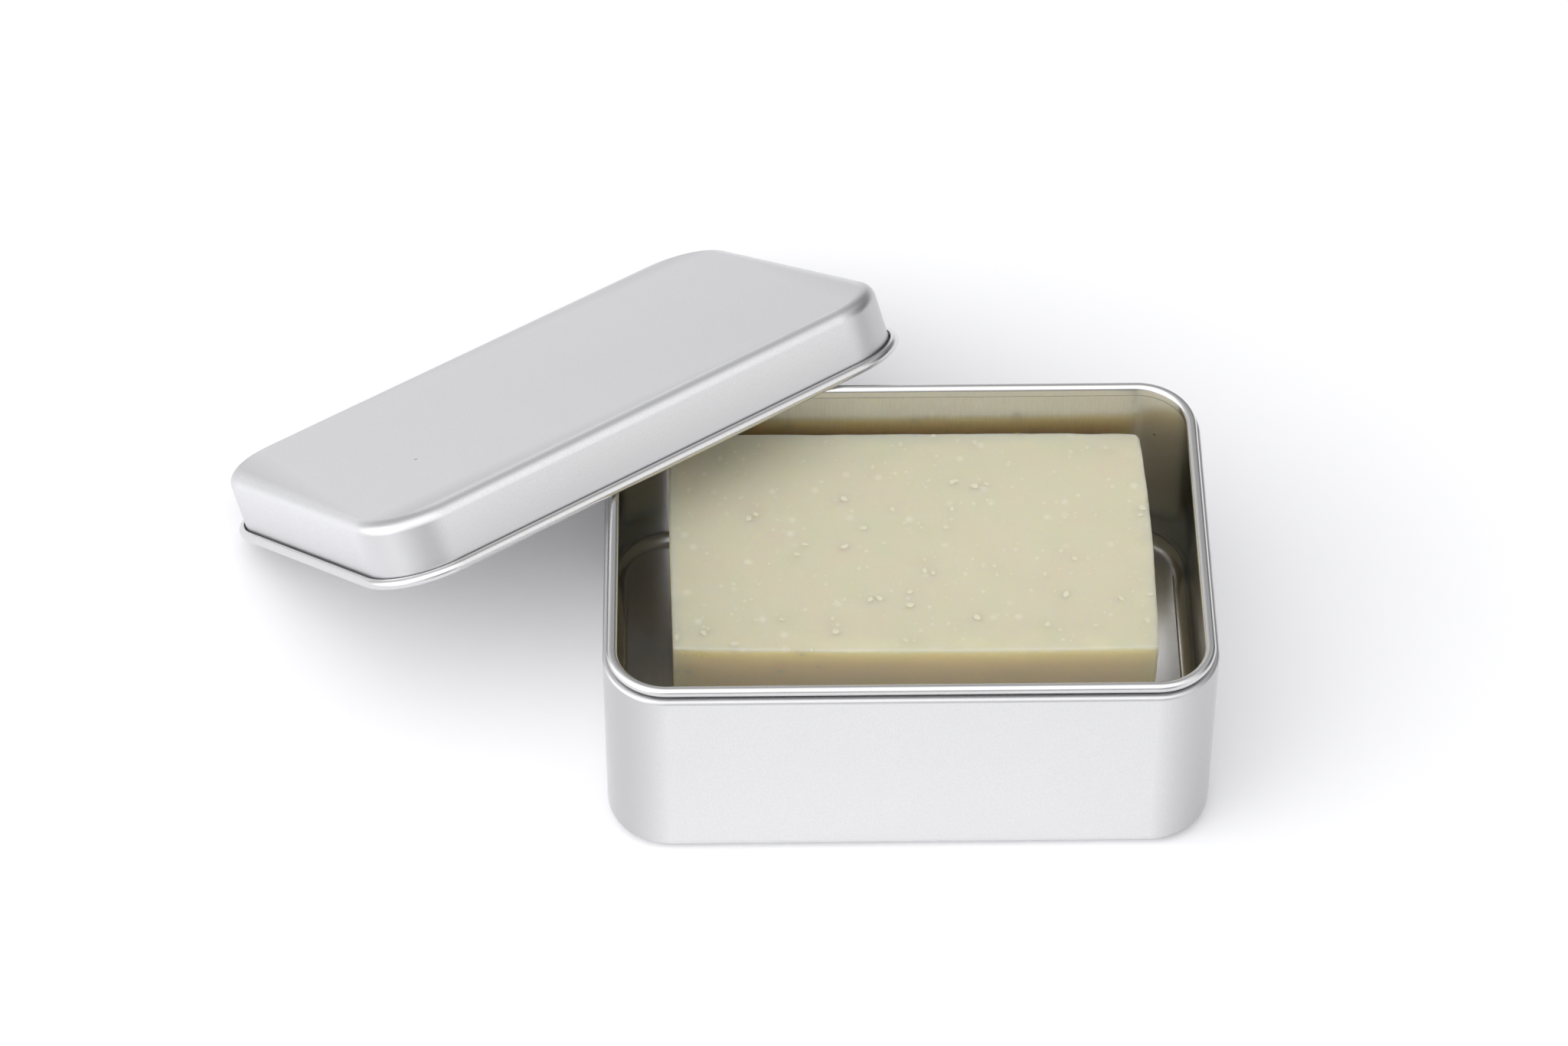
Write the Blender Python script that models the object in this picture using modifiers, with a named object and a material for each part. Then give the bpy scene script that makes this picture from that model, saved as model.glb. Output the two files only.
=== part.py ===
"""Soap tin: a drawn body with a rolled rim, its slip lid leaning off one corner, and a cut bar of soap inside.

Units are metres, +Z is up. The origin is the centre of the body's flat underside.
The body's long side runs along X. The lid stands as it is put down on opening: its far foot is on the table
behind the tin, and its near foot lies across the rim at the back left corner.
"""
import math

import bmesh
import bpy
from mathutils import Matrix, Vector

# Sheet and the clearances shared by the pieces
SHEET = 0.0003
SEAT_GAP = 0.0003
SLIP_CLEARANCE = 0.001

# Body, outside sizes
BODY_LENGTH = 0.105
BODY_DEPTH = 0.074
BODY_HEIGHT = 0.041
BODY_CORNER = 0.011
FLOOR_RADIUS = 0.003

# Rolled edge, the same on the body's rim and the lid's foot
ROLL_RADIUS = 0.00095
ROLL_TURN = math.radians(285)
ROLL_STEPS = 12

# Shoulder and neck under the body's rim
RIM_SETBACK = 0.0016
SHOULDER_RADIUS = 0.0005
SHOULDER_DROP = 0.0002
NECK_RADIUS = 0.0005

# Lid
LID_HEIGHT = 0.0119
LID_EDGE_RADIUS = 0.002
LID_TURN = math.radians(33.7)
LID_CORNER_AIR = 0.0021
LID_MIDDLE_LEFT = 0.0062

# Room round the bar of soap, from the body's inner walls and from the rim down to its top
SOAP_LEFT_ROOM = 0.011
SOAP_RIGHT_ROOM = 0.0089
SOAP_FRONT_ROOM = 0.0193
SOAP_BACK_ROOM = 0.002
SOAP_TOP_ROOM = 0.0113
SOAP_EDGE = 0.0007
SOAP_TURN = math.radians(-0.4)

CORNER_STEPS = 8
BEND_STEPS = 4

COLLECTION = "soap_tin"


def clear_scene():
    """Removes every object, so that the model starts from an empty scene."""
    for thing in list(bpy.data.objects):
        bpy.data.objects.remove(thing, do_unlink=True)


def make_material(name, colour, roughness, metallic):
    """A Principled material of one colour."""
    material = bpy.data.materials.new(name)
    material.use_nodes = True
    shader = material.node_tree.nodes["Principled BSDF"]
    shader.inputs["Base Color"].default_value = colour
    shader.inputs["Roughness"].default_value = roughness
    shader.inputs["Metallic"].default_value = metallic
    return material


def add_piece(name, mesh, material, collection):
    """Puts a mesh in the scene as a named piece with its own material."""
    piece = bpy.data.objects.new(name, mesh)
    piece.data.materials.append(material)
    collection.objects.link(piece)
    return piece


def arc(inset, height, radius, start, end, steps):
    """Stations along an arc in the wall's section, as pairs of inset and height.

    The angle is zero straight outward and a quarter turn straight up.
    """
    stations = []
    for step in range(steps + 1):
        angle = start + (end - start) * step / steps
        stations.append((inset - radius * math.cos(angle), height + radius * math.sin(angle)))
    return stations


def drawn_shell(name, length, depth, corner, stations):
    """A flat plate whose edge is drawn out along the section's stations, as the middle of the sheet.

    The plate is the first station: a rectangle with rounded corners. Each further station is the open edge
    extruded once more, moved in or out square to the edge and up or down.
    """
    plate_inset, plate_height = stations[0]
    shell = bmesh.new()
    bmesh.ops.create_grid(shell, x_segments=1, y_segments=1, size=0.5)
    bmesh.ops.scale(shell, vec=(length - 2 * plate_inset, depth - 2 * plate_inset, 1), verts=shell.verts)
    bmesh.ops.translate(shell, vec=(0, 0, plate_height), verts=shell.verts)
    bmesh.ops.bevel(
        shell,
        geom=list(shell.verts),
        offset=corner - plate_inset,
        offset_type="OFFSET",
        segments=CORNER_STEPS,
        profile=0.5,
        affect="VERTICES",
    )
    centre_x = length / 2 - corner
    centre_y = depth / 2 - corner
    edge = [line for line in shell.edges if line.is_boundary]
    for inset, height in stations[1:]:
        drawn = bmesh.ops.extrude_edge_only(shell, edges=edge)["geom"]
        edge = [part for part in drawn if isinstance(part, bmesh.types.BMEdge) and part.is_boundary]
        for point in {point for line in edge for point in line.verts}:
            centre = Vector((math.copysign(centre_x, point.co.x), math.copysign(centre_y, point.co.y)))
            outward = (point.co.xy - centre).normalized()
            place = centre + outward * (corner - inset)
            point.co = (place.x, place.y, height)
    bmesh.ops.recalc_face_normals(shell, faces=shell.faces)
    mesh = bpy.data.meshes.new(name)
    shell.to_mesh(mesh)
    shell.free()
    mesh.shade_smooth()
    return mesh


def give_thickness(piece):
    """Half the sheet on each side of its middle."""
    wall = piece.modifiers.new("sheet", "SOLIDIFY")
    wall.thickness = SHEET
    wall.offset = 0
    wall.use_even_offset = True
    wall.use_quality_normals = True


def body_stations():
    """The body's section, from the edge of its flat floor up to the end of the rolled rim."""
    middle = SHEET / 2
    roll = ROLL_RADIUS - middle
    roll_height = BODY_HEIGHT - ROLL_RADIUS
    neck_inset = RIM_SETBACK + roll
    ledge_height = roll_height - ROLL_RADIUS - SHOULDER_DROP - middle
    shoulder = SHOULDER_RADIUS - middle
    quarter = math.pi / 2
    stations = arc(FLOOR_RADIUS, FLOOR_RADIUS, FLOOR_RADIUS - middle, -quarter, 0, BEND_STEPS)
    stations += reversed(arc(SHOULDER_RADIUS, ledge_height - shoulder, shoulder, quarter, 0, BEND_STEPS))
    stations += arc(neck_inset - NECK_RADIUS, ledge_height + NECK_RADIUS, NECK_RADIUS, -quarter, -math.pi, BEND_STEPS)
    stations += arc(RIM_SETBACK, roll_height, roll, math.pi, math.pi - ROLL_TURN, ROLL_STEPS)
    return stations


def lid_stations():
    """The lid's section, from the edge of its flat panel down to the end of the rolled foot."""
    middle = SHEET / 2
    roll = ROLL_RADIUS - middle
    quarter = math.pi / 2
    edge_height = LID_HEIGHT - LID_EDGE_RADIUS
    stations = arc(LID_EDGE_RADIUS, edge_height, LID_EDGE_RADIUS - middle, quarter, 0, BEND_STEPS)
    stations += arc(middle - roll, ROLL_RADIUS, roll, -math.pi, ROLL_TURN - math.pi, ROLL_STEPS)
    return stations


def lid_place(lid_depth):
    """Where the leaning lid stands: its long axis level, one foot on the table and the other on the rim.

    The panel passes over the round of the body's back left corner with a named air gap, and that sets how far
    the near foot reaches past the corner. The foot's middle lies a named length to the corner's left.
    """
    roll_out = ROLL_RADIUS - SHEET
    foot_span = lid_depth + 2 * roll_out
    near_height = BODY_HEIGHT + SEAT_GAP
    tilt = math.asin(near_height / foot_span)
    turn = Matrix.Rotation(LID_TURN, 3, "Z") @ Matrix.Rotation(-tilt, 3, "X")
    along = turn @ Vector((1, 0, 0))
    across = Matrix.Rotation(LID_TURN, 3, "Z") @ Vector((0, 1, 0))
    round_centre = Vector((BODY_CORNER - BODY_LENGTH / 2, BODY_DEPTH / 2 - BODY_CORNER, 0))
    corner = round_centre + across * (BODY_CORNER - RIM_SETBACK)
    panel_rise = LID_HEIGHT - SHEET - ROLL_RADIUS
    rim_rise = panel_rise - LID_CORNER_AIR - ROLL_RADIUS
    roll_drop = 2 * ROLL_RADIUS + SEAT_GAP
    reach = (rim_rise + roll_drop * math.cos(tilt)) / math.sin(tilt)
    near_foot = corner - across * reach - along * LID_MIDDLE_LEFT
    near_foot.z = near_height + ROLL_RADIUS
    from_foot = Vector((0, foot_span / 2, -ROLL_RADIUS))
    return Matrix.LocRotScale(near_foot + turn @ from_foot, turn, None)


def make_body(collection):
    """The tin's body."""
    material = make_material("satin_tinplate_body", (0.80, 0.80, 0.81, 1), 0.38, 1)
    mesh = drawn_shell("tin_body", BODY_LENGTH, BODY_DEPTH, BODY_CORNER, body_stations())
    give_thickness(add_piece("tin_body", mesh, material, collection))


def make_lid(collection):
    """The slip lid. Its inner wall clears the body's outer wall when it is on."""
    grown = SLIP_CLEARANCE + SHEET
    length = BODY_LENGTH + 2 * grown
    depth = BODY_DEPTH + 2 * grown
    material = make_material("satin_tinplate_lid", (0.82, 0.82, 0.83, 1), 0.40, 1)
    mesh = drawn_shell("tin_lid", length, depth, BODY_CORNER + grown, lid_stations())
    lid = add_piece("tin_lid", mesh, material, collection)
    give_thickness(lid)
    lid.matrix_world = lid_place(depth)


def make_soap(collection):
    """The bar of soap, loose on the floor."""
    inner_x = BODY_LENGTH / 2 - SHEET
    inner_y = BODY_DEPTH / 2 - SHEET
    left, right = SOAP_LEFT_ROOM - inner_x, inner_x - SOAP_RIGHT_ROOM
    front, back = SOAP_FRONT_ROOM - inner_y, inner_y - SOAP_BACK_ROOM
    bottom, top = SHEET + SEAT_GAP, BODY_HEIGHT - SOAP_TOP_ROOM
    bar = bmesh.new()
    bmesh.ops.create_cube(bar, size=1)
    bmesh.ops.scale(bar, vec=(right - left, back - front, top - bottom), verts=bar.verts)
    mesh = bpy.data.meshes.new("soap_bar")
    bar.to_mesh(mesh)
    bar.free()
    material = make_material("cold_process_soap", (0.66, 0.63, 0.46, 1), 0.5, 0)
    soap = add_piece("soap_bar", mesh, material, collection)
    edges = soap.modifiers.new("worn_edges", "BEVEL")
    edges.width = SOAP_EDGE
    edges.segments = 3
    edges.limit_method = "NONE"
    soap.location = ((left + right) / 2, (front + back) / 2, (bottom + top) / 2)
    soap.rotation_euler = (0, 0, SOAP_TURN)


def main():
    """Builds the tin, its lid and its soap."""
    clear_scene()
    collection = bpy.data.collections.new(COLLECTION)
    bpy.context.scene.collection.children.link(collection)
    make_body(collection)
    make_lid(collection)
    make_soap(collection)


main()
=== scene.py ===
"""Soap tin, dressed: a drawn tin with a rolled rim, its slip lid leaning off one corner, and a bar of soap.

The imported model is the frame. Finer shells stand for its body and lid, and a bar with cut faces, pits and
grains stands for its plain one. Lengths are metres and +Z is up, as in the frame.
"""

import logging
import math
import random
from dataclasses import dataclass
from enum import Enum

import bmesh
import bpy
from bpy.types import Camera, Material, Mesh, Node, NodeSocket, NodeTree, Object
from mathutils import Matrix, Vector, kdtree, noise


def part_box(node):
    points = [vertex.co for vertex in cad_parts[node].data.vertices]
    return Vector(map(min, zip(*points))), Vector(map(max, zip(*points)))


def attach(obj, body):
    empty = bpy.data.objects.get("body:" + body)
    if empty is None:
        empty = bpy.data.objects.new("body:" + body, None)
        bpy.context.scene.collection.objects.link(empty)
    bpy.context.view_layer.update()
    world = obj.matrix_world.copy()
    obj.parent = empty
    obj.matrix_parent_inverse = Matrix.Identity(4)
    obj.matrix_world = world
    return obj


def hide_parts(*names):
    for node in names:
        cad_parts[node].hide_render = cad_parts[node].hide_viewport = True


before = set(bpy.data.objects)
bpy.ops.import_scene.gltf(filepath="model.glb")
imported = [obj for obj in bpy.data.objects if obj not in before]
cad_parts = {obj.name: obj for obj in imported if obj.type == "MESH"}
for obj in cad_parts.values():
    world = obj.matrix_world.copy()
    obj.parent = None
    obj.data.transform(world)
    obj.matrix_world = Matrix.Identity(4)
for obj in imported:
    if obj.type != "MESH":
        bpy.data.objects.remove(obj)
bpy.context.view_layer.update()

MM = 0.001
SQUARE_MM = MM * MM
QUARTER = math.pi / 2
# Soap bends light about as its oils do.
SOAP_IOR = 1.46
# Painted glow: how much of the lighter yellow, standing in for light scattered through the soap's sides, each
# point gets.
PAINTED_GLOW_ATTRIBUTE = "dried_skin"
# Painted shade: how far each point of the tins' corners and rolls is darkened to its painted shade colour.
PAINTED_SHADE_ATTRIBUTE = "corner_burnish"

log = logging.getLogger("soap_tin")

Station = tuple[float, float]


def linear(code: str) -> tuple[float, float, float, float]:
    """Turns an sRGB hex colour to the linear one that Blender's sockets take.

    Args:
        code: Six hex digits, as in "D4D4D6".

    Returns:
        Red, green, blue and alpha.
    """
    shares = [int(code[place:place + 2], 16) / 255 for place in (0, 2, 4)]
    bands = [share / 12.92 if share <= 0.04045 else ((share + 0.055) / 1.055) ** 2.4 for share in shares]
    return (*bands, 1.0)


def add_node(tree: NodeTree, kind: str, inputs: dict | None = None, **settings: object) -> Node:
    """Adds a node, sets its properties, and fills its inputs with values or links.

    Args:
        tree: The tree that the node goes in.
        kind: The node's type name.
        inputs: Input name or place in the list, with a value, a socket, or a list of sockets that it joins.
        **settings: Properties of the node itself.

    Returns:
        The new node.
    """
    node = tree.nodes.new(kind)
    for name, value in settings.items():
        setattr(node, name, value)
    for key, value in (inputs or {}).items():
        for one in value if isinstance(value, list) else [value]:
            if isinstance(one, NodeSocket):
                tree.links.new(one, node.inputs[key])
            else:
                node.inputs[key].default_value = one
    return node


def add_inputs(tree: NodeTree, kinds: dict[str, str]) -> Node:
    """Gives a Geometry Nodes tree its named inputs and its one output.

    Args:
        tree: The Geometry Nodes tree.
        kinds: Each input's name and socket type.

    Returns:
        The tree's input node.
    """
    for name, kind in kinds.items():
        tree.interface.new_socket(name, in_out="INPUT", socket_type=kind)
    tree.interface.new_socket("Geometry", in_out="OUTPUT", socket_type="NodeSocketGeometry")
    return add_node(tree, "NodeGroupInput")


def end_tree(tree: NodeTree, made: NodeSocket, finish: NodeSocket) -> None:
    """Ends a Geometry Nodes tree with a real mesh in its finish.

    Args:
        tree: The Geometry Nodes tree.
        made: The socket with what the tree made.
        finish: The socket with the finish.
    """
    real = add_node(tree, "GeometryNodeRealizeInstances", {"Geometry": made})
    finished = add_node(tree, "GeometryNodeSetMaterial", {
        "Geometry": real.outputs["Geometry"],
        "Material": finish,
    })
    add_node(tree, "NodeGroupOutput", {"Geometry": finished.outputs["Geometry"]})


def new_material(name: str) -> tuple[Material, NodeTree, Node]:
    """Makes a material with nodes, and returns it with its tree and its shader."""
    material = bpy.data.materials.new(name)
    material.use_nodes = True
    tree = material.node_tree
    return material, tree, tree.nodes["Principled BSDF"]


def layered(tree: NodeTree, base: str, layers: list[tuple[NodeSocket, str]]) -> NodeSocket:
    """Lays colours over one another.

    Args:
        tree: The material's tree.
        base: The lowest colour, as sRGB hex digits.
        layers: From the lowest up, the socket with how much of a colour shows, and the colour's hex digits.

    Returns:
        The socket with the mixed colour.
    """
    colour = linear(base)
    for amount, code in layers:
        colour = add_node(tree, "ShaderNodeMix", {
            0: amount,
            6: colour,
            7: linear(code),
        }, data_type="RGBA").outputs[2]
    return colour


def spots(
    tree: NodeTree,
    place: NodeSocket,
    spacing: float,
    share: float,
    rim: float,
    core: float,
) -> NodeSocket:
    """Strews round spots through space, one in the middle of some of its cells.

    Args:
        tree: The material's tree.
        place: The socket with the place in space.
        spacing: How far apart the cells lie.
        share: The share of the cells that hold a spot.
        rim: How far from its middle a spot starts to show, as a share of the spacing.
        core: How far from its middle it shows in full, as a share of the spacing.

    Returns:
        The socket with how strongly a spot shows.
    """
    cell = add_node(tree, "ShaderNodeTexVoronoi", {"Vector": place, "Scale": 1 / spacing})
    chosen = add_node(tree, "ShaderNodeMath", {
        0: cell.outputs["Color"],
        1: share,
    }, operation="LESS_THAN").outputs[0]
    near = add_node(tree, "ShaderNodeMapRange", {
        "Value": cell.outputs["Distance"],
        "From Min": rim,
        "From Max": core,
    }).outputs[0]
    return add_node(tree, "ShaderNodeMath", {0: chosen, 1: near}, operation="MULTIPLY").outputs[0]


def grown(tree: NodeTree, carrier: Object, values: dict[str, object]) -> Mesh:
    """Runs a Geometry Nodes tree on an object and returns what it makes as a plain mesh.

    Args:
        tree: The Geometry Nodes tree.
        carrier: The object that the tree runs on. The modifier is gone again afterwards.
        values: The tree's named inputs, set by their sockets' identifiers.

    Returns:
        The made mesh.
    """
    modifier = carrier.modifiers.new(tree.name, "NODES")
    modifier.node_group = tree
    given = [item for item in tree.interface.items_tree if item.in_out == "INPUT"]
    identifiers = {item.name: item.identifier for item in given}
    for name, value in values.items():
        modifier[identifiers[name]] = value
    carrier.update_tag()
    depsgraph = bpy.context.evaluated_depsgraph_get()
    mesh = bpy.data.meshes.new_from_object(carrier.evaluated_get(depsgraph))
    carrier.modifiers.remove(modifier)
    return mesh


def add_object(name: str, data: Mesh | Camera) -> Object:
    """Puts a mesh or a camera in the scene as a named object at the origin."""
    thing = bpy.data.objects.new(name, data)
    bpy.context.scene.collection.objects.link(thing)
    return thing


def arc(inset: float, height: float, radius: float, start: float, end: float, steps: int) -> list[Station]:
    """Stations along an arc in a drawn wall's section.

    Args:
        inset: The arc's centre, measured inward from the wall's outer face.
        height: The arc's centre, measured up from the piece's foot.
        radius: The arc's radius.
        start: First angle. Zero points straight outward and a quarter turn straight up.
        end: Last angle.
        steps: How many steps the arc is made in.

    Returns:
        Pairs of inset and height.
    """
    angles = [start + (end - start) * step / steps for step in range(steps + 1)]
    return [(inset - radius * math.cos(angle), height + radius * math.sin(angle)) for angle in angles]


class Side(Enum):
    """The way that a drawn shell's flat panel faces."""

    FLOOR = -1
    TOP = 1


@dataclass(frozen=True)
class Tinplate:
    """Steel sheet with a satin tin coating, drawn to shape.

    The coating scatters light enough to hide all but large shapes. Drawing leaves faint marks that run up the
    walls. The tight corners and the rolls are painted a greyer colour: painted shade that stands in for the
    darker surroundings they reflect, and that dims the rolls' highlights. Handling leaves a few dark specks.
    The coating's own grain is too fine to show, so it is drawn as coarse as the render needs. The inside is
    brighter, with longer marks.
    """

    name: str
    colour: str
    cloud_colour: str
    grain_colour: str
    # The colour mixed into the corners and rolls as painted shade.
    painted_shade_colour: str
    grain_stretch: float
    roughness: float = 0.40
    roughness_swing: float = 0.03
    grain: float = 0.22 * MM
    grain_height: float = 0.002 * MM
    grain_contrast: tuple[float, float] = (0.35, 0.65)
    noise_detail: float = 2.0
    speck_spacing: float = 9 * MM
    speck_share: float = 0.35
    speck_colour: str = "77777A"
    speck_size_share: float = 0.05
    cloud_size: float = 14 * MM

    def make(self, place: Matrix | None = None) -> Material:
        """Makes the material.

        Args:
            place: Where the piece stands, so that its marks follow its own length, depth and height.

        Returns:
            The material.
        """
        material, tree, shader = new_material(self.name)
        place = place or Matrix.Identity(4)
        coordinates = add_node(tree, "ShaderNodeTexCoord").outputs["Object"]
        own = add_node(tree, "ShaderNodeMapping", {
            "Vector": coordinates,
            "Location": place.translation,
            "Rotation": place.to_euler(),
        }, vector_type="TEXTURE").outputs["Vector"]
        drawn = add_node(tree, "ShaderNodeMapping", {
            "Vector": own,
            "Scale": (1 / self.grain, 1 / self.grain, 1 / (self.grain * self.grain_stretch)),
        }).outputs["Vector"]
        grain, cloud = [
            add_node(tree, "ShaderNodeTexNoise", {
                "Vector": where,
                "Scale": scale,
                "Detail": self.noise_detail,
            }).outputs["Fac"]
            for where, scale in ((drawn, 1.0), (own, 1 / self.cloud_size))
        ]
        strength = add_node(tree, "ShaderNodeMapRange", {
            "Value": grain,
            "From Min": self.grain_contrast[0],
            "From Max": self.grain_contrast[1],
        }).outputs[0]
        # Painted shade: corners and rolls darkened towards the painted shade colour.
        burnish = add_node(tree, "ShaderNodeAttribute", attribute_name=PAINTED_SHADE_ATTRIBUTE).outputs["Fac"]
        size = self.speck_size_share
        speck = spots(tree, own, self.speck_spacing, self.speck_share, size, size / 2)
        colour = layered(tree, self.colour, [
            (cloud, self.cloud_colour),
            (strength, self.grain_colour),
            (burnish, self.painted_shade_colour),
            (speck, self.speck_colour),
        ])
        roughness = add_node(tree, "ShaderNodeMapRange", {
            "Value": strength,
            "To Min": self.roughness - self.roughness_swing,
            "To Max": self.roughness + self.roughness_swing,
        }).outputs[0]
        bump = add_node(tree, "ShaderNodeBump", {
            "Height": grain,
            "Distance": self.grain_height,
            "Strength": 1.0,
        }).outputs["Normal"]
        shader.inputs["Metallic"].default_value = 1.0
        for name, socket in (("Base Color", colour), ("Roughness", roughness), ("Normal", bump)):
            tree.links.new(socket, shader.inputs[name])
        return material


@dataclass(frozen=True)
class Mottle:
    """One kind of spot in the soap: its cells' spacing, the share that hold one, its size and its colour."""

    spacing: float
    share: float
    radius: float
    colour: str


@dataclass(frozen=True)
class ColdProcessSoap:
    """Hand-poured soap, cut with a wire.

    Light goes some millimetres into it and comes out warmer, so its shaded sides glow near the lit top. Its
    colour drifts between cream, a faint green and a faint pink. Its sides, and patches of its top near them,
    are
    painted a lighter yellow than the top: a painted glow that stands in for more of that scattered light. The
    cut leaves a soft satin face, and air bubbles and lye specks leave pale dots; a few dark olive dots are
    strewn too.
    """

    name: str = "cold_process_soap"
    colour: str = "CDC8B0"
    green_colour: str = "CAC8AE"
    pink_colour: str = "CEC6AF"
    # The lighter yellow painted on the sides and near them as painted glow.
    painted_glow_colour: str = "E0D6B6"
    roughness: float = 0.42
    scatter_depth: float = 11 * MM
    scatter_shares: tuple[float, float, float] = (1.0, 0.78, 0.38)
    drift_size: float = 7 * MM
    drift_middle: float = 0.5
    drift_reach: float = 0.2
    noise_detail: float = 3.0
    mottles: tuple[Mottle, ...] = (
        Mottle(3.4 * MM, 0.30, 1.00 * MM, "DBD8C6"),
        Mottle(1.9 * MM, 0.30, 0.50 * MM, "DAD7C4"),
        Mottle(0.8 * MM, 0.30, 0.14 * MM, "E0DDCC"),
        Mottle(8.0 * MM, 0.25, 0.24 * MM, "7A724C"),
    )
    grain: float = 0.35 * MM
    grain_height: float = 0.015 * MM

    def make(self) -> Material:
        """Makes the material."""
        material, tree, shader = new_material(self.name)
        own = add_node(tree, "ShaderNodeTexCoord").outputs["Object"]
        drift, grain = [
            add_node(tree, "ShaderNodeTexNoise", {
                "Vector": own,
                "Scale": 1 / size,
                "Detail": self.noise_detail,
            }).outputs["Fac"]
            for size in (self.drift_size, self.grain)
        ]
        # Painted glow: the sides, and patches of the top near them, are painted lighter yellow.
        painted_glow = add_node(tree, "ShaderNodeAttribute", attribute_name=PAINTED_GLOW_ATTRIBUTE).outputs["Fac"]
        layers = []
        for reach, tint in ((self.drift_reach, self.green_colour), (-self.drift_reach, self.pink_colour)):
            amount = add_node(tree, "ShaderNodeMapRange", {
                "Value": drift,
                "From Min": self.drift_middle,
                "From Max": self.drift_middle + reach,
            }).outputs[0]
            layers.append((amount, tint))
        for mottle in self.mottles:
            rim = mottle.radius / mottle.spacing
            layers.append((spots(tree, own, mottle.spacing, mottle.share, rim, 0.0), mottle.colour))
        layers.append((painted_glow, self.painted_glow_colour))
        colour = layered(tree, self.colour, layers)
        bump = add_node(tree, "ShaderNodeBump", {
            "Height": grain,
            "Distance": self.grain_height,
            "Strength": 1.0,
        }).outputs["Normal"]
        shader.inputs["Roughness"].default_value = self.roughness
        shader.inputs["IOR"].default_value = SOAP_IOR
        shader.inputs["Subsurface Weight"].default_value = 1.0
        shader.inputs["Subsurface Radius"].default_value = self.scatter_shares
        shader.inputs["Subsurface Scale"].default_value = self.scatter_depth
        tree.links.new(colour, shader.inputs["Base Color"])
        tree.links.new(bump, shader.inputs["Normal"])
        return material


@dataclass(frozen=True)
class SoapFleck:
    """Pale grains and burst bubbles at the soap's surface, a little glossier than the soap round them."""

    name: str
    colour: str
    roughness: float
    mottle_colour: str
    mottle_size: float = 0.6 * MM

    def make(self) -> Material:
        """Makes the material."""
        material, tree, shader = new_material(self.name)
        own = add_node(tree, "ShaderNodeTexCoord").outputs["Object"]
        mottle = add_node(tree, "ShaderNodeTexNoise", {"Vector": own, "Scale": 1 / self.mottle_size})
        colour = layered(tree, self.colour, [(mottle.outputs["Fac"], self.mottle_colour)])
        shader.inputs["Roughness"].default_value = self.roughness
        shader.inputs["IOR"].default_value = SOAP_IOR
        tree.links.new(colour, shader.inputs["Base Color"])
        return material


# Each finish's darker colour for corners and rolls is painted shade, standing in for the darker surroundings
# they reflect.
BODY_TINPLATE = Tinplate(
    name="satin_tinplate_body",
    colour="E0E0E1",
    cloud_colour="DDDDDE",
    grain_colour="DADADB",
    painted_shade_colour="C1C1C2",
    grain_stretch=2.5,
)
LID_TINPLATE = Tinplate(
    name="satin_tinplate_lid",
    colour="E4E4E6",
    cloud_colour="E1E1E3",
    grain_colour="DBDBDD",
    painted_shade_colour="C6C6C8",
    grain_stretch=1.6,
)
INSIDE_TINPLATE = Tinplate(
    name="bright_tinplate_inside",
    colour="DBDADA",
    cloud_colour="D7D6D5",
    grain_colour="D4D2D0",
    painted_shade_colour="D5D5D6",
    grain_stretch=8,
    roughness=0.24,
    grain=0.35 * MM,
    grain_height=0.0012 * MM,
    speck_share=0.2,
)
SOAP = ColdProcessSoap()
PALE_GRAIN = SoapFleck("pale_soap_grain", colour="D8D5C0", mottle_colour="D1CDB6", roughness=0.45)
# Raised glossy grains that catch real glints; their whiter colour is partly a painted glint.
GRAIN_WITH_PAINTED_GLINT = SoapFleck("bright_soap_grain", colour="E8E6DC", mottle_colour="DEDACB", roughness=0.3)
WAXY_CRUMB = SoapFleck("waxy_soap_crumb", colour="F0E6B8", mottle_colour="E6DAA6", roughness=0.35)


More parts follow.
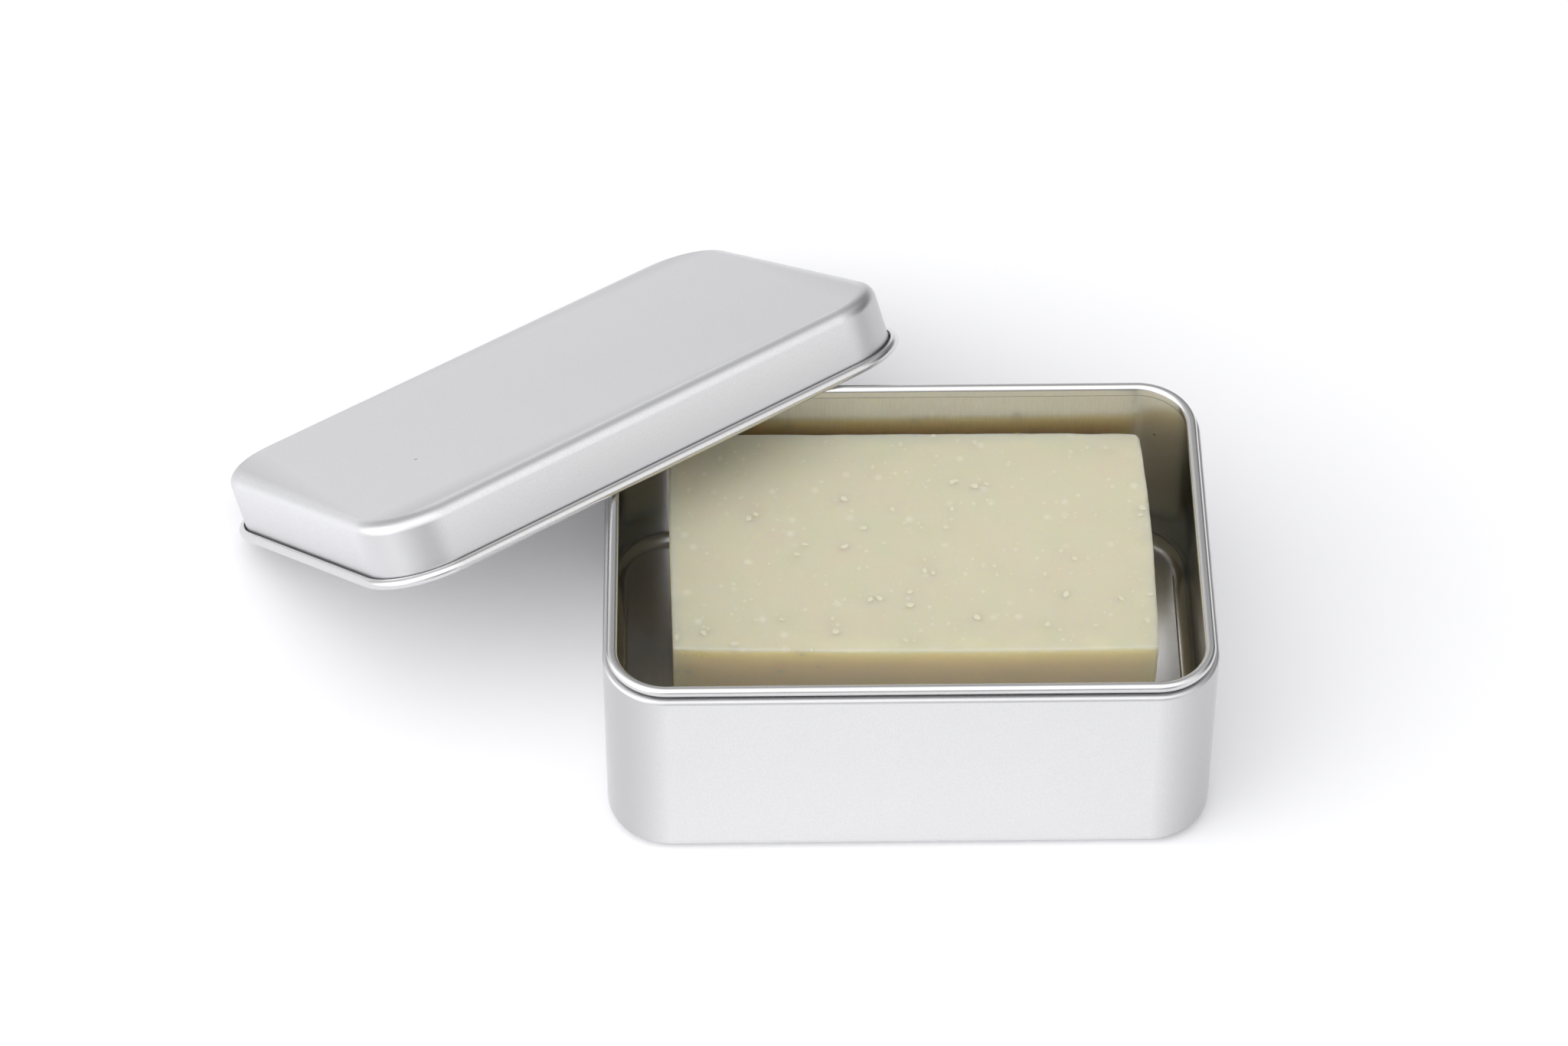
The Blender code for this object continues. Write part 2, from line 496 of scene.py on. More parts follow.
def drawn_shell_tree() -> NodeTree:
    """The Geometry Nodes tree of a drawn shell.

    It sweeps a section round a rectangle with rounded corners, as the middle of the sheet, and closes it with
    the flat panel that the section starts from.

    Returns:
        The tree.
    """
    tree = bpy.data.node_groups.new("drawn_shell", "GeometryNodeTree")
    given = add_inputs(tree, {
        "Section": "NodeSocketObject",
        "Length": "NodeSocketFloat",
        "Depth": "NodeSocketFloat",
        "Corner": "NodeSocketFloat",
        "Corner Steps": "NodeSocketInt",
        "Panel Inset": "NodeSocketFloat",
        "Panel Height": "NodeSocketFloat",
        "Merge Distance": "NodeSocketFloat",
        "Finish": "NodeSocketMaterial",
    }).outputs
    inset = given["Panel Inset"]
    both = add_node(tree, "ShaderNodeMath", {0: inset, 1: 2.0}, operation="MULTIPLY").outputs[0]
    loops = []
    for corner_less, side_less in ((0.0, 0.0), (inset, both)):
        length, depth, corner = [
            add_node(tree, "ShaderNodeMath", {0: given[name], 1: less}, operation="SUBTRACT").outputs[0]
            for name, less in (("Length", side_less), ("Depth", side_less), ("Corner", corner_less))
        ]
        outline = add_node(tree, "GeometryNodeCurvePrimitiveQuadrilateral", {
            "Width": length,
            "Height": depth,
        })
        rounded = add_node(tree, "GeometryNodeFilletCurve", {
            "Curve": outline.outputs["Curve"],
            "Count": given["Corner Steps"],
            "Radius": corner,
        }, mode="POLY")
        loops.append(rounded.outputs["Curve"])
    upright = add_node(tree, "GeometryNodeSetCurveNormal", {"Curve": loops[0]}, mode="Z_UP")
    section = add_node(tree, "GeometryNodeObjectInfo", {"Object": given["Section"]})
    wall = add_node(tree, "GeometryNodeCurveToMesh", {
        "Curve": upright.outputs["Curve"],
        "Profile Curve": section.outputs["Geometry"],
    })
    flat = add_node(tree, "GeometryNodeFillCurve", {"Curve": loops[1]}, mode="NGONS")
    height = add_node(tree, "ShaderNodeCombineXYZ", {"Z": given["Panel Height"]})
    panel = add_node(tree, "GeometryNodeTransform", {
        "Geometry": flat.outputs["Mesh"],
        "Translation": height.outputs["Vector"],
    })
    whole = add_node(tree, "GeometryNodeJoinGeometry", {
        "Geometry": [wall.outputs["Mesh"], panel.outputs["Geometry"]],
    })
    merged = add_node(tree, "GeometryNodeMergeByDistance", {
        "Geometry": whole.outputs["Geometry"],
        "Distance": given["Merge Distance"],
    })
    smooth = add_node(tree, "GeometryNodeSetShadeSmooth", {"Geometry": merged.outputs["Geometry"]})
    end_tree(tree, smooth.outputs["Geometry"], given["Finish"])
    return tree


def scattered_flecks_tree() -> NodeTree:
    """The Geometry Nodes tree that strews low ragged grains over the part of a surface inside a box.

    A grain is a sphere one unit across, made ragged and then squashed to its own width and height. Small
    grains are commoner than large ones.

    Returns:
        The tree.
    """
    segments, rings, radius = 12, 7, 0.5
    ragged_scale, ragged_detail, noise_middle = 2.5, 1.0, 0.5
    rarity, narrowest = 2.5, 0.55
    narrow_seed, spin_seed = 7, 3
    tree = bpy.data.node_groups.new("scattered_flecks", "GeometryNodeTree")
    given = add_inputs(tree, {
        "Surface": "NodeSocketGeometry",
        "Low Corner": "NodeSocketVector",
        "High Corner": "NodeSocketVector",
        "Density": "NodeSocketFloat",
        "Seed": "NodeSocketInt",
        "Smallest": "NodeSocketFloat",
        "Largest": "NodeSocketFloat",
        "Height Share": "NodeSocketFloat",
        "Ragged Share": "NodeSocketFloat",
        "Finish": "NodeSocketMaterial",
    }).outputs
    place = add_node(tree, "GeometryNodeInputPosition").outputs["Position"]
    above, below = [
        add_node(tree, "FunctionNodeCompare", {
            4: place,
            5: given[corner],
        }, data_type="VECTOR", operation=operation).outputs[0]
        for corner, operation in (("Low Corner", "GREATER_THAN"), ("High Corner", "LESS_THAN"))
    ]
    inside = add_node(tree, "FunctionNodeBooleanMath", {0: above, 1: below}, operation="AND").outputs[0]
    points = add_node(tree, "GeometryNodeDistributePointsOnFaces", {
        "Mesh": given["Surface"],
        "Selection": inside,
        "Density": given["Density"],
        "Seed": given["Seed"],
    }, distribute_method="RANDOM")
    chance = add_node(tree, "FunctionNodeRandomValue", {"Seed": given["Seed"]}).outputs[1]
    rarer = add_node(tree, "ShaderNodeMath", {0: chance, 1: rarity}, operation="POWER").outputs[0]
    width = add_node(tree, "ShaderNodeMapRange", {
        "Value": rarer,
        "To Min": given["Smallest"],
        "To Max": given["Largest"],
    }).outputs[0]
    stretch, spin = [
        add_node(tree, "FunctionNodeRandomValue", {2: least, 3: most, "Seed": seed}).outputs[1]
        for least, most, seed in ((narrowest, 1.0, narrow_seed), (0.0, math.tau, spin_seed))
    ]
    narrow = add_node(tree, "ShaderNodeMath", {0: width, 1: stretch}, operation="MULTIPLY").outputs[0]
    low = add_node(tree, "ShaderNodeMath", {
        0: narrow,
        1: given["Height Share"],
    }, operation="MULTIPLY").outputs[0]
    size = add_node(tree, "ShaderNodeCombineXYZ", {"X": width, "Y": narrow, "Z": low}).outputs["Vector"]
    turned = add_node(tree, "FunctionNodeRotateRotation", {
        "Rotation": points.outputs["Rotation"],
        "Rotate By": add_node(tree, "ShaderNodeCombineXYZ", {"Z": spin}).outputs["Vector"],
    }, rotation_space="LOCAL")
    ball = add_node(tree, "GeometryNodeMeshUVSphere", {
        "Segments": segments,
        "Rings": rings,
        "Radius": radius,
    })
    uneven = add_node(tree, "ShaderNodeTexNoise", {"Scale": ragged_scale, "Detail": ragged_detail})
    centred = add_node(tree, "ShaderNodeVectorMath", {
        0: uneven.outputs["Color"],
        1: (noise_middle, noise_middle, noise_middle),
    }, operation="SUBTRACT").outputs[0]
    shift = add_node(tree, "ShaderNodeVectorMath", {
        0: centred,
        "Scale": given["Ragged Share"],
    }, operation="SCALE").outputs[0]
    grain = add_node(tree, "GeometryNodeSetPosition", {"Geometry": ball.outputs["Mesh"], "Offset": shift})
    strewn = add_node(tree, "GeometryNodeInstanceOnPoints", {
        "Points": points.outputs["Points"],
        "Instance": grain.outputs["Geometry"],
        "Rotation": turned.outputs["Rotation"],
        "Scale": size,
    })
    end_tree(tree, strewn.outputs["Instances"], given["Finish"])
    return tree


@dataclass
class DrawnShell:
    """What the body and the lid share: one sheet, its rolled edge, and how fine the shell is made.

    Each shell's section is drawn as the middle of its sheet, from its flat panel to the end of the roll. The
    roll is eased by a hair, so that its true round stays inside the frame's faceted one.
    """

    sheet: float = 0.3 * MM
    roll_radius: float = 0.95 * MM
    roll_ease: float = 0.03 * MM
    roll_turn: float = math.radians(285)
    # How much painted shade darkens the roll all round, which also dims its highlight.
    roll_painted_shade: float = 0.65
    bend_steps: int = 12
    roll_steps: int = 36
    corner_steps: int = 32
    merge_distance: float = 0.002 * MM

    def drawn(
        self,
        name: str,
        tree: NodeTree,
        stations: list[Station],
        size: tuple[float, float, float],
        roll_centre: Station,
        roll_shade_heights: tuple[float, float],
        finishes: tuple[Material, Material],
        side: Side,
    ) -> Object:
        """Draws a shell round a section.

        Args:
            name: The piece's name.
            tree: The drawn shell's Geometry Nodes tree.
            stations: The section, from the edge of the flat panel to the end of the roll.
            size: The outline's length, depth and corner radius.
            roll_centre: The middle of the roll in the section.
            roll_shade_heights: The heights of the roll, which is painted with shade all round.
            finishes: The sheet's outer and inner finish. The roll has the outer one on both its sides.
            side: The way that the flat panel faces.

        Returns:
            The piece, with its sheet's thickness.
        """
        curve = bpy.data.curves.new(f"{name}_section", "CURVE")
        spline = curve.splines.new("POLY")
        spline.points.add(len(stations) - 1)
        for point, (inset, height) in zip(spline.points, stations):
            point.co = (-inset, -height, 0, 1)
        section = bpy.data.objects.new(f"{name}_section", curve)
        piece = add_object(name, bpy.data.meshes.new(name))
        length, depth, corner = size
        piece.data = grown(tree, piece, {
            "Section": section,
            "Length": length,
            "Depth": depth,
            "Corner": corner,
            "Corner Steps": self.corner_steps,
            "Panel Inset": stations[0][0],
            "Panel Height": stations[0][1],
            "Merge Distance": self.merge_distance,
            "Finish": finishes[0],
        })
        bpy.data.objects.remove(section)
        self.face_outward(piece.data, side)
        middle = Vector((length / 2 - corner, depth / 2 - corner))
        self.burnish(piece.data, middle, roll_shade_heights)
        for face in piece.data.polygons:
            inset = corner - self.past_middle(face.center, middle).length
            if math.hypot(inset - roll_centre[0], face.center.z - roll_centre[1]) < self.roll_radius:
                face.material_index = 1
        piece.data.materials.append(finishes[1])
        piece.data.materials.append(finishes[0])
        wall = piece.modifiers.new("sheet", "SOLIDIFY")
        wall.thickness = self.sheet
        wall.offset = 0
        wall.use_even_offset = True
        wall.use_quality_normals = True
        wall.material_offset = 1
        wall.material_offset_rim = 1
        piece.modifiers.new("flat_faces_stay_flat", "WEIGHTED_NORMAL")
        return piece

    @staticmethod
    def past_middle(place: Vector, middle: Vector) -> Vector:
        """How far a place lies past the middle of its corner's round, along X and along Y."""
        return Vector((max(0, abs(place.x) - middle.x), max(0, abs(place.y) - middle.y)))

    def burnish(self, mesh: Mesh, middle: Vector, roll_shade_heights: tuple[float, float]) -> None:
        """Marks how much painted shade each point of the shell gets: most in its corners and along its roll.

        Args:
            mesh: The shell's mesh.
            middle: The middle of the back right corner's round.
            roll_shade_heights: The heights of the roll, which is painted with shade all round.
        """
        low, high = roll_shade_heights
        marks = mesh.attributes.new(PAINTED_SHADE_ATTRIBUTE, "FLOAT", "POINT")
        for point, mark in zip(mesh.vertices, marks.data):
            out = self.past_middle(point.co, middle)
            at_corner = 2 * out.x * out.y / out.length_squared if out.length > 0 else 0
            at_roll = self.roll_painted_shade if low < point.co.z < high else 0
            mark.value = max(at_corner, at_roll)

    @staticmethod
    def face_outward(mesh: Mesh, side: Side) -> None:
        """Turns every face of the open shell to its outer side.

        Args:
            mesh: The shell's mesh.
            side: The way that the flat panel faces.
        """
        shell = bmesh.new()
        shell.from_mesh(mesh)
        bmesh.ops.recalc_face_normals(shell, faces=shell.faces)
        panel = max(shell.faces, key=lambda face: face.calc_area())
        if panel.normal.z * side.value < 0:
            bmesh.ops.reverse_faces(shell, faces=shell.faces)
        shell.to_mesh(mesh)
        shell.free()


@dataclass
class TinBody(DrawnShell):
    """The tin's body: floor, walls, a small shoulder and a neck that ends in the rolled rim."""

    corner: float = 11 * MM
    floor_radius: float = 3 * MM
    rim_setback: float = 1.6 * MM
    shoulder_radius: float = 0.75 * MM
    shoulder_drop: float = 0.2 * MM
    neck_radius: float = 0.5 * MM
    # How far down from the rim the painted shade along the roll reaches.
    roll_shade_height: float = 2.8 * MM

    def __post_init__(self) -> None:
        """Takes the outer size from the frame."""
        low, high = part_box("tin_body")
        self.length, self.depth, self.height = high - low

    def stations(self) -> list[Station]:
        """The body's section, from the edge of its flat floor up to the end of the rolled rim."""
        middle = self.sheet / 2
        roll = self.roll_radius - middle - self.roll_ease
        roll_height = self.height - self.roll_radius
        neck_inset = self.rim_setback + roll
        ledge = roll_height - self.roll_radius - self.shoulder_drop - middle
        bend = self.shoulder_radius - middle
        foot, neck, steps = self.floor_radius, self.neck_radius, self.bend_steps
        section = arc(foot, foot, foot - middle, -QUARTER, 0, steps)
        section += reversed(arc(self.shoulder_radius, ledge - bend, bend, QUARTER, 0, steps))
        section += arc(neck_inset - neck, ledge + neck, neck, -QUARTER, -math.pi, steps)
        end = math.pi - self.roll_turn
        return section + arc(self.rim_setback, roll_height, roll, math.pi, end, self.roll_steps)

    def build(self, tree: NodeTree) -> Object:
        """Builds and dresses the body.

        Args:
            tree: The drawn shell's Geometry Nodes tree.

        Returns:
            The body, riding on its frame body.
        """
        piece = self.drawn(
            "drawn_tin_body",
            tree,
            self.stations(),
            size=(self.length, self.depth, self.corner),
            roll_centre=(self.rim_setback, self.height - self.roll_radius),
            roll_shade_heights=(self.height - self.roll_shade_height, self.height),
            finishes=(BODY_TINPLATE.make(), INSIDE_TINPLATE.make()),
            side=Side.FLOOR,
        )
        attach(piece, "tin")
        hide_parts("tin_body")
        return piece


@dataclass
class SlipLid(DrawnShell):
    """The slip lid: a flat panel, a rounded edge, a shallow skirt and a foot rolled outward.

    It stands with its far foot on the table behind the tin and its near foot across the rim. Its edge is a
    hair rounder than the frame's, which keeps it inside the frame's facets.
    """

    height: float = 11.9 * MM
    edge_radius: float = 2.14 * MM
    slip_clearance: float = 1 * MM
    turn: float = math.radians(33.7)
    corner_air: float = 2.1 * MM
    middle_left: float = 6.2 * MM
    seat_gap: float = 0.3 * MM

    def stations(self) -> list[Station]:
        """The lid's section, from the edge of its flat panel down to the end of the rolled foot."""
        middle = self.sheet / 2
        roll = self.roll_radius - middle - self.roll_ease
        edge = self.edge_radius
        section = arc(edge, self.height - edge, edge - middle, QUARTER, 0, self.bend_steps)
        end = self.roll_turn - math.pi
        return section + arc(middle - roll, self.roll_radius, roll, -math.pi, end, self.roll_steps)

    def place(self, body: TinBody, depth: float) -> Matrix:
        """Where the leaning lid stands.

        Its long axis is level. The panel passes over the round of the body's back left corner with a named
        air gap, and that sets how far the near foot reaches past the corner.

        Args:
            body: The body that it leans on.
            depth: The lid's own outer depth.

        Returns:
            The lid's place, from the middle of its foot.
        """
        foot_span = depth + 2 * (self.roll_radius - self.sheet)
        near_height = body.height + self.seat_gap
        tilt = math.asin(near_height / foot_span)
        yaw = Matrix.Rotation(self.turn, 3, "Z")
        turned = yaw @ Matrix.Rotation(-tilt, 3, "X")
        along = turned @ Vector((1, 0, 0))
        across = yaw @ Vector((0, 1, 0))
        corner = Vector((body.corner - body.length / 2, body.depth / 2 - body.corner, 0))
        corner += across * (body.corner - body.rim_setback)
        panel_rise = self.height - self.sheet - self.roll_radius
        rim_rise = panel_rise - self.corner_air - self.roll_radius
        roll_drop = 2 * self.roll_radius + self.seat_gap
        reach = (rim_rise + roll_drop * math.cos(tilt)) / math.sin(tilt)
        near_foot = corner - across * reach - along * self.middle_left
        near_foot.z = near_height + self.roll_radius
        from_foot = Vector((0, foot_span / 2, -self.roll_radius))
        return Matrix.LocRotScale(near_foot + turned @ from_foot, turned, None)

    def build(self, tree: NodeTree, body: TinBody) -> Object:
        """Builds and dresses the lid.

        Args:
            tree: The drawn shell's Geometry Nodes tree.
            body: The body that it fits over and leans on.

        Returns:
            The lid, riding on its frame body.
        """
        grown_by = self.slip_clearance + self.sheet
        depth = body.depth + 2 * grown_by
        place = self.place(body, depth)
        piece = self.drawn(
            "drawn_slip_lid",
            tree,
            self.stations(),
            size=(body.length + 2 * grown_by, depth, body.corner + grown_by),
            roll_centre=(self.sheet - self.roll_radius, self.roll_radius),
            roll_shade_heights=(-self.roll_radius, 2 * self.roll_radius),
            finishes=(LID_TINPLATE.make(place), INSIDE_TINPLATE.make(place)),
            side=Side.TOP,
        )
        piece.data.transform(place)
        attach(piece, "lid")
        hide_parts("tin_lid")
        return piece


@dataclass(frozen=True)
class CutSide:
    """One of the bar's four upright faces, as it was cut.

    The cut starts and ends some way in from the plain bar, and bows outward between. A left or right face
    starts at the front, and a front or back face at the left.
    """

    start_in: float
    end_in: float
    bow: float

    def inset(self, share: float) -> float:
        """How far in from the plain bar the face lies, at a share of its length from -1 to 1."""
        return (self.start_in * (1 - share) + self.end_in * (1 + share)) / 2 - self.bow * (1 - share ** 2)


@dataclass(frozen=True)
class Strewn:
    """A kind of grain on the bar, and the stretch of its front edge that it keeps to, if it does.

    The stretch runs along from the bar's left end and down from its top.
    """

    name: str
    finish: SoapFleck
    seed: int
    density: float
    height_share: float
    sizes: tuple[float, float] = (0.20 * MM, 0.60 * MM)
    ragged_share: float = 0.9
    along: tuple[float, float] | None = None
    down: tuple[float, float] = (0.0, 0.0)


@dataclass
class SoapBar:
    """The bar of soap, cut by hand.

    Its sides bow a little, its edges are worn, and its faces have pits and grains. The back right corner is
    worn the most, and the right edge has a nick.
    """

    left: CutSide = CutSide(0.73 * MM, -0.12 * MM, 0.30 * MM)
    right: CutSide = CutSide(0.38 * MM, 0.88 * MM, 0.65 * MM)
    front: CutSide = CutSide(1.25 * MM, 0.50 * MM, 0.70 * MM)
    back: CutSide = CutSide(0.17 * MM, 0.50 * MM, 0.05 * MM)
    right_taper: float = 0.7 * MM
    # Where the painted glow of the sides reaches, and how patchy it is on the top.
    painted_glow_fade: float = 0.8 * MM
    painted_glow_reach: float = 5 * MM
    painted_glow_reach_share: float = 0.45
    painted_glow_patch_level: float = 0.5
    point_spacing: float = 0.5 * MM
    edge_crowding: float = 0.35
    edge_radius: float = 0.45 * MM
    edge_wear: float = 0.35 * MM
    wear_length: float = 4 * MM
    corner_wear: float = 0.9 * MM
    corner_wear_power: int = 12
    wave_height: float = 0.12 * MM
    wave_length: float = 17 * MM
    drag_height: float = 0.03 * MM
    drag_length: float = 1.6 * MM
    drag_squeeze: float = 0.3
    pits: int = 90
    pit_top_share: float = 0.7
    pit_reach: tuple[float, float] = (0.97, 0.95)
    pit_rarity: int = 3
    pit_smallest: float = 0.45 * MM
    pit_largest: float = 1.1 * MM
    pit_depth_share: float = 0.06
    nick_back_share: float = 0.36
    nick_width: float = 1.0 * MM
    nick_depth_share: float = 0.45
    strip_in_radii: float = 4
    strip_over_radii: float = 0.25
    strewn: tuple[Strewn, ...] = (
        Strewn(
            name="pale_grains",
            finish=PALE_GRAIN,
            seed=11,
            density=0.04 / SQUARE_MM,
            height_share=0.02,
            sizes=(0.25 * MM, 1.40 * MM),
            ragged_share=0.7,
        ),
        # Grains whose whiter colour is partly a painted glint.
        Strewn(
            name="bright_grains",
            finish=GRAIN_WITH_PAINTED_GLINT,
            seed=23,
            density=0.012 / SQUARE_MM,
            height_share=0.30,
            sizes=(0.15 * MM, 0.35 * MM),
            ragged_share=0.8,
        ),
        Strewn(
            name="edge_crumbs",
            finish=WAXY_CRUMB,
            seed=5,
            density=7 / SQUARE_MM,
            height_share=0.40,
            along=(1.9 * MM, 7.2 * MM),
            down=(0.9 * MM, 1.5 * MM),
        ),
        Strewn(
            name="edge_flakes",
            finish=PALE_GRAIN,
            seed=8,
            density=3 / SQUARE_MM,
            height_share=0.20,
            along=(21.2 * MM, 24.4 * MM),
            down=(0.0, 0.5 * MM),
        ),
    )
    seed: int = 11

    def __post_init__(self) -> None:
        """Takes the outer size and the place from the frame."""
        self.low, self.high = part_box("soap_bar")
        self.middle = (self.low + self.high) / 2
        self.half = (self.high - self.low) / 2

    def block(self) -> bmesh.types.BMesh:
        """A cube from -1 to 1 with its faces cut into a grid, closer near its edges."""
        block = bmesh.new()
        bmesh.ops.create_cube(block, size=2)
        for axis in range(3):
            cuts = round(2 * self.half[axis] / self.point_spacing)
            along = []
            for edge in block.edges:
                start, end = edge.verts
                if abs(start.co[axis] - end.co[axis]) > edge.calc_length() / 2:
                    along.append(edge)
            bmesh.ops.subdivide_edges(block, edges=along, cuts=cuts, use_grid_fill=True)
        crowd = self.edge_crowding
        for point in block.verts:
            point.co = Vector([share * (1 + crowd) - crowd * share ** 3 for share in point.co])
        return block

    def shaped(self, share: Vector) -> Vector:
        """Takes a point of the unit cube to the bar's own cut and rounded shape.

        Args:
            share: The point, as shares of the bar's half length, depth and height.

        Returns:
            The point in the frame.
        """
        worn = noise.noise(share * self.half.x / self.wear_length)
        back_right = share.x > 0 and share.y > 0
        at_corner = (share.x * share.y) ** self.corner_wear_power if back_right else 0
        radius = self.edge_radius + self.edge_wear * max(0, worn) + self.corner_wear * at_corner
        flat = Vector([value * half for value, half in zip(share, self.half)])
        inner = [half - radius for half in self.half]
        core = Vector([max(-reach, min(reach, value)) for value, reach in zip(flat, inner)])
        out = flat - core
        place = core + out.normalized() * radius if out.length > 0 else flat
        to_right, to_back = (1 + share.x) / 2, (1 + share.y) / 2
        right_in = self.right.inset(share.y) + self.right_taper * (1 - share.z) / 2
        place.x += self.left.inset(share.y) * (1 - to_right) - right_in * to_right
        place.y += self.front.inset(share.x) * (1 - to_back) - self.back.inset(share.x) * to_back
        return place + self.middle

    def painted_glow_at(self, share: Vector) -> float:
        """How much of the painted glow shows at a point.

        Args:
            share: The point, as shares of the bar's half length, depth and height.

        Returns:
            All of it on the sides, from 1, and a little on the top near them.
        """
        depth = (1 - share.z) * self.half.z
        from_side = min((1 - abs(share.x)) * self.half.x, (1 - abs(share.y)) * self.half.y)
        patchy = self.painted_glow_patch_level + noise.noise(share * self.half.x / self.painted_glow_reach)
        near_side = self.painted_glow_reach_share * max(0, 1 - from_side / self.painted_glow_reach) * patchy
        return min(1, max(depth / self.painted_glow_fade, near_side))

    def surface(self) -> Mesh:
        """The bar's mesh, with its waves, cutting marks and pits."""
        block = self.block()
        # Painted glow: each point's share of the lighter side colour.
        painted_glow = block.verts.layers.float.new(PAINTED_GLOW_ATTRIBUTE)
        for point in block.verts:
            point[painted_glow] = self.painted_glow_at(point.co)
            point.co = self.shaped(point.co)
        block.normal_update()
        pits = self.pit_places()
        tree = kdtree.KDTree(len(pits))
        for number, (place, _, _) in enumerate(pits):
            tree.insert(place, number)
        tree.balance()
        for point in block.verts:
            place = point.co.copy()
            wave = self.wave_height * noise.noise(place / self.wave_length)
            stretched = Vector((place.x * self.drag_squeeze, place.y, place.z))
            drag = self.drag_height * noise.noise(stretched / self.drag_length)
            dent = 0.0
            for _, number, distance in tree.find_range(place, self.pit_largest / 2):
                _, width, depth = pits[number]
                if distance < width / 2:
                    dent = max(dent, depth * (1 - (distance / (width / 2)) ** 2))
            point.co += point.normal * (wave + drag - dent)
        bmesh.ops.recalc_face_normals(block, faces=block.faces)
        mesh = bpy.data.meshes.new("cut_soap_bar")
        block.to_mesh(mesh)
        block.free()
        mesh.shade_smooth()
        return mesh

    def pit_places(self) -> list[tuple[Vector, float, float]]:
        """Where the nick and the burst bubbles lie, with their widths and depths."""
        chance = random.Random(self.seed)
        nick = Vector((1, self.nick_back_share, 1))
        pits = [(self.shaped(nick), self.nick_width, self.nick_width * self.nick_depth_share)]
        for _ in range(self.pits):
            on_top = chance.random() < self.pit_top_share
            across, along = [chance.uniform(-reach, reach) for reach in self.pit_reach]
            share = Vector((across, along, 1)) if on_top else Vector((across, -1, along))
            spread = self.pit_largest - self.pit_smallest
            width = self.pit_smallest + spread * chance.random() ** self.pit_rarity
            pits.append((self.shaped(share), width, width * self.pit_depth_share))
        return pits

    def box_of(self, kind: Strewn) -> tuple[Vector, Vector]:
        """The box that a kind of grain keeps to.

        Args:
            kind: The kind of grain.

        Returns:
            The box's low and high corner: round its stretch of the front edge, or the bar inside its edges.
        """
        room = Vector((1, 1, 1)) * self.edge_radius
        if kind.along is None:
            return self.low + room, self.high + room
        start, end = kind.along
        near, far = kind.down
        back = self.low.y + self.strip_in_radii * room.y
        top = self.high.z - near + self.strip_over_radii * room.z
        low = Vector((self.low.x + start, self.low.y - room.y, self.high.z - far))
        high = Vector((self.low.x + end, back, top))
        return low, high

    def build(self, tree: NodeTree) -> list[Object]:
        """Builds and dresses the bar and what is strewn on it.

        Args:
            tree: The scattered flecks' Geometry Nodes tree.

        Returns:
            The bar and each kind of grain on it.
        """
        bar = add_object("cut_soap_bar", self.surface())
        bar.data.materials.append(SOAP.make())
        pieces = [bar]
        for kind in self.strewn:
            low, high = self.box_of(kind)
            pieces.append(add_object(kind.name, grown(tree, bar, {
                "Low Corner": low,
                "High Corner": high,
                "Density": kind.density,
                "Seed": kind.seed,
                "Smallest": kind.sizes[0],
                "Largest": kind.sizes[1],
                "Height Share": kind.height_share,
                "Ragged Share": kind.ragged_share,
                "Finish": kind.finish.make(),
            })))
        for piece in pieces:
            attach(piece, "soap")
        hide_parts("soap_bar")
        return pieces


@dataclass(frozen=True)
class Glow:
    """A soft patch of light in the studio's dome, or a dark one where its strength is below zero."""

    azimuth: float
    elevation: float
    spread: float
    strength: float

    def direction(self) -> Vector:
        """The way to the patch's middle. Azimuth zero is the front, and it grows to the right."""
        azimuth, elevation = math.radians(self.azimuth), math.radians(self.elevation)
        flat = math.cos(elevation)
        return Vector((math.sin(azimuth) * flat, -math.cos(azimuth) * flat, math.sin(elevation)))


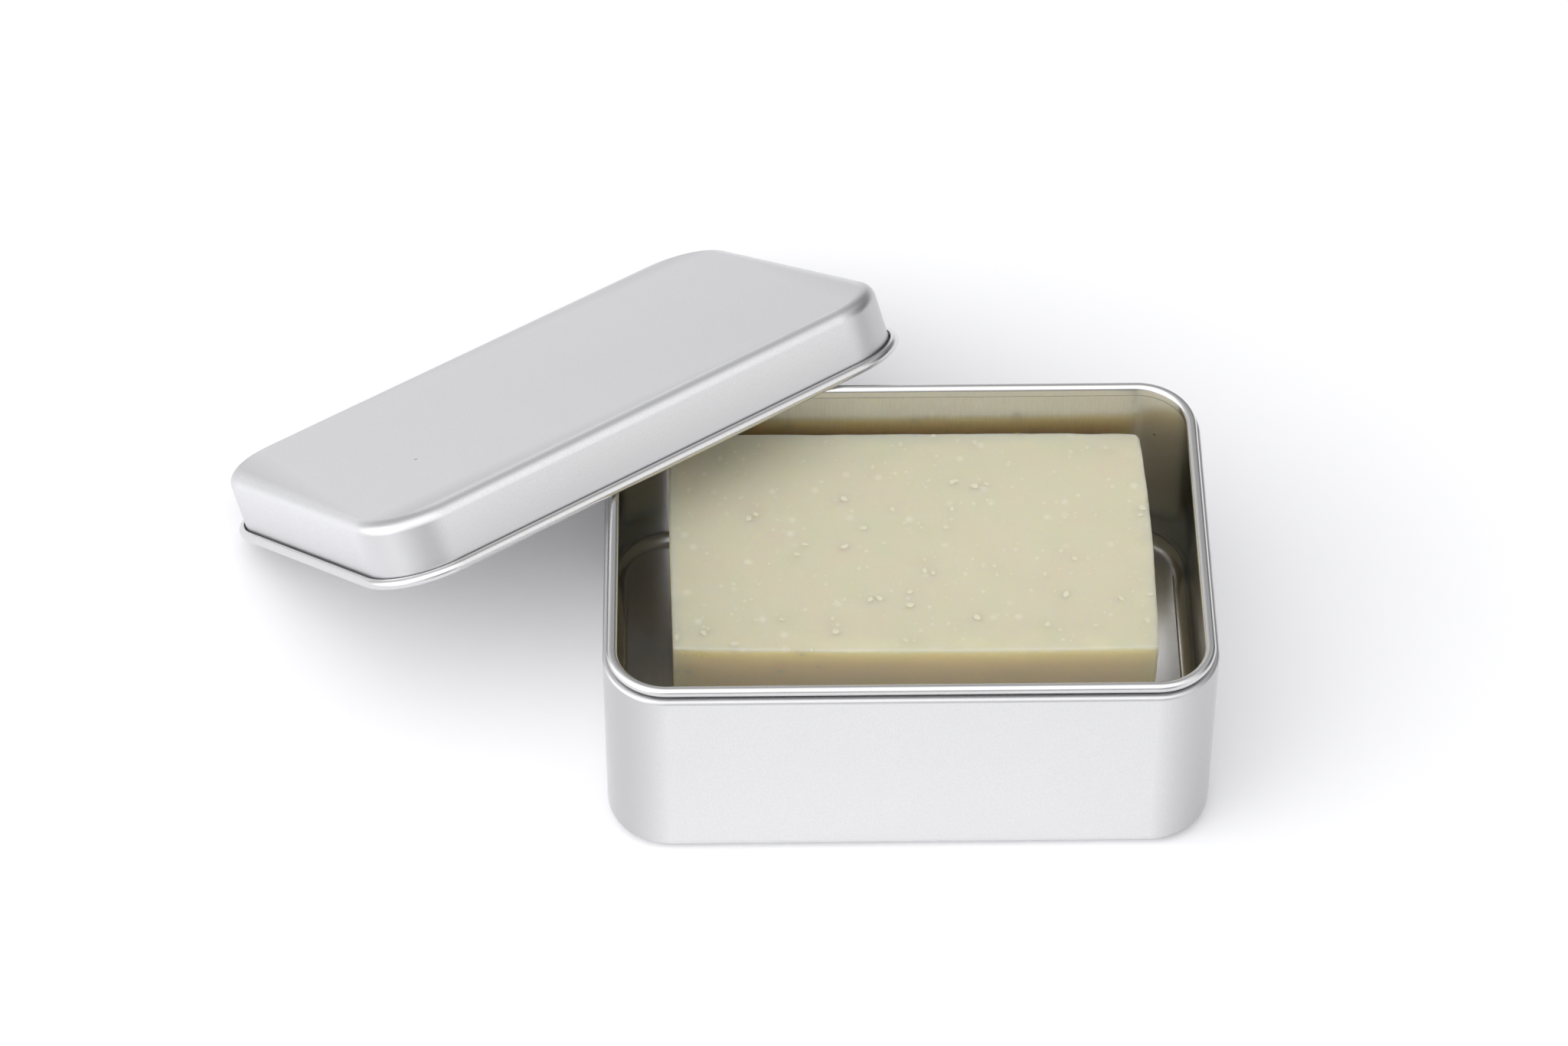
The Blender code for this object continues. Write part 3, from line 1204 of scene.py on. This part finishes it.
@dataclass
class Studio:
    """A white sweep under a soft dome of light, seen from in front and above."""

    eye: tuple[float, float, float] = (-27.14 * MM, -633.56 * MM, 721.35 * MM)
    pitch: float = math.radians(46.9295)
    roll: float = math.radians(-0.1494)
    yaw: float = math.radians(0.5259)
    focal_pixels: float = 7021.458
    image_width: float = 2048
    sensor_width: float = 36
    clip_start: float = 0.01
    floor_size: float = 6.0
    floor_colour: str = "F6F6F8"
    floor_roughness: float = 0.9
    horizon_blur: float = 0.02
    dome_level: float = 0.74
    ground_level: float = 0.0
    overhead_box: Glow = Glow(-20, 60, 62, 1.05)
    low_left_box: Glow = Glow(-70, 4, 50, 2.3)
    right_card: Glow = Glow(65, 22, 35, 0.4)
    dark_behind_camera: Glow = Glow(15, 8, 28, -0.55)
    dark_overhead_back: Glow = Glow(180, 60, 40, -0.3)
    dark_right_side: Glow = Glow(105, 18, 35, -0.6)
    dark_right_back: Glow = Glow(150, 12, 32, -0.5)

    def camera(self) -> Object:
        """The camera, at the place fitted to the photograph."""
        data = bpy.data.cameras.new("camera")
        data.sensor_width = self.sensor_width
        data.lens = self.focal_pixels / self.image_width * self.sensor_width
        data.clip_start = self.clip_start
        yaw = Matrix.Rotation(-self.yaw, 3, "Z")
        lean = Matrix.Rotation(QUARTER - self.pitch, 3, "X")
        turned = yaw @ lean @ Matrix.Rotation(self.roll, 3, "Z")
        camera = add_object("camera", data)
        camera.matrix_world = Matrix.LocRotScale(Vector(self.eye), turned, None)
        bpy.context.scene.camera = camera
        return camera

    def floor(self) -> Object:
        """The pale floor."""
        sheet = bmesh.new()
        bmesh.ops.create_grid(sheet, x_segments=1, y_segments=1, size=self.floor_size / 2)
        mesh = bpy.data.meshes.new("floor")
        sheet.to_mesh(mesh)
        sheet.free()
        material, _, shader = new_material("white_paper_sweep")
        shader.inputs["Base Color"].default_value = linear(self.floor_colour)
        shader.inputs["Roughness"].default_value = self.floor_roughness
        mesh.materials.append(material)
        floor = add_object("floor", mesh)
        return floor

    def light(self) -> None:
        """Lights the scene with a soft dome whose patches stand for the studio's soft boxes."""
        world = bpy.data.worlds.new("soft_dome")
        world.use_nodes = True
        bpy.context.scene.world = world
        tree = world.node_tree
        tree.nodes.clear()
        way = add_node(tree, "ShaderNodeTexCoord").outputs["Generated"]
        up = add_node(tree, "ShaderNodeSeparateXYZ", {"Vector": way}).outputs["Z"]
        level = add_node(tree, "ShaderNodeMapRange", {
            "Value": up,
            "From Min": -self.horizon_blur,
            "From Max": self.horizon_blur,
            "To Min": self.ground_level,
            "To Max": self.dome_level,
        }).outputs[0]
        lit = (self.overhead_box, self.low_left_box, self.right_card)
        dark = (self.dark_behind_camera, self.dark_overhead_back, self.dark_right_side, self.dark_right_back)
        for glow in lit + dark:
            toward = add_node(tree, "ShaderNodeVectorMath", {
                0: way,
                1: glow.direction(),
            }, operation="DOT_PRODUCT").outputs["Value"]
            patch = add_node(tree, "ShaderNodeMapRange", {
                "Value": toward,
                "From Min": math.cos(math.radians(glow.spread)),
                "From Max": 1.0,
                "To Max": glow.strength,
            }, interpolation_type="SMOOTHSTEP").outputs[0]
            level = add_node(tree, "ShaderNodeMath", {0: level, 1: patch}, operation="ADD").outputs[0]
        level = add_node(tree, "ShaderNodeMath", {0: level, 1: 0.0}, operation="MAXIMUM").outputs[0]
        background = add_node(tree, "ShaderNodeBackground", {"Color": level})
        add_node(tree, "ShaderNodeOutputWorld", {"Surface": background.outputs["Background"]})

    def build(self) -> None:
        """Builds camera, floor and light."""
        self.camera()
        self.floor()
        self.light()
        bpy.context.scene.view_settings.view_transform = "Standard"


def main() -> None:
    """Builds the studio and then each piece of the tin."""
    logging.basicConfig(level=logging.INFO, format="%(name)s: %(message)s")
    Studio().build()
    shell_tree = drawn_shell_tree()
    body = TinBody()
    pieces = [body.build(shell_tree), SlipLid().build(shell_tree, body)]
    pieces += SoapBar().build(scattered_flecks_tree())


if __name__ == "__main__":
    main()
